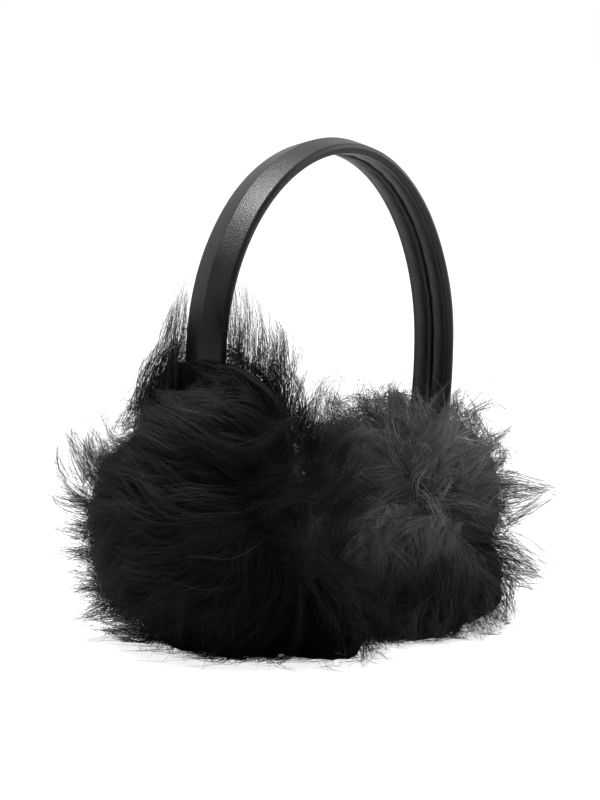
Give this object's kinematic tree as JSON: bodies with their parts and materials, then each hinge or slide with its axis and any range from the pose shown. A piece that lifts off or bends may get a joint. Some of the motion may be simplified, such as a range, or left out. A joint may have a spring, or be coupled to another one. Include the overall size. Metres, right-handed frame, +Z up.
{
  "type": "fur earmuffs",
  "caption": "Earmuffs with large round cups of long black fur on an arched, padded black leather headband, standing on their cups.",
  "frame": {"origin": "on the table, under the middle of the whole", "axes": "+X to the wearer's right, +Y to the back of the head, +Z up"},
  "size_m": [0.224, 0.14, 0.2199],
  "materials": {
    "leather": "smooth, half gloss",
    "stitching": "waxed thread",
    "fur": "long silky pile"
  },
  "bodies": {
    "root": {"headband": "leather", "headband_seam": "stitching", "left_fur_outer": "fur", "left_fur_inner": "fur", "right_fur_inner": "fur", "right_fur_outer": "fur"}
  },
  "joints": []
}
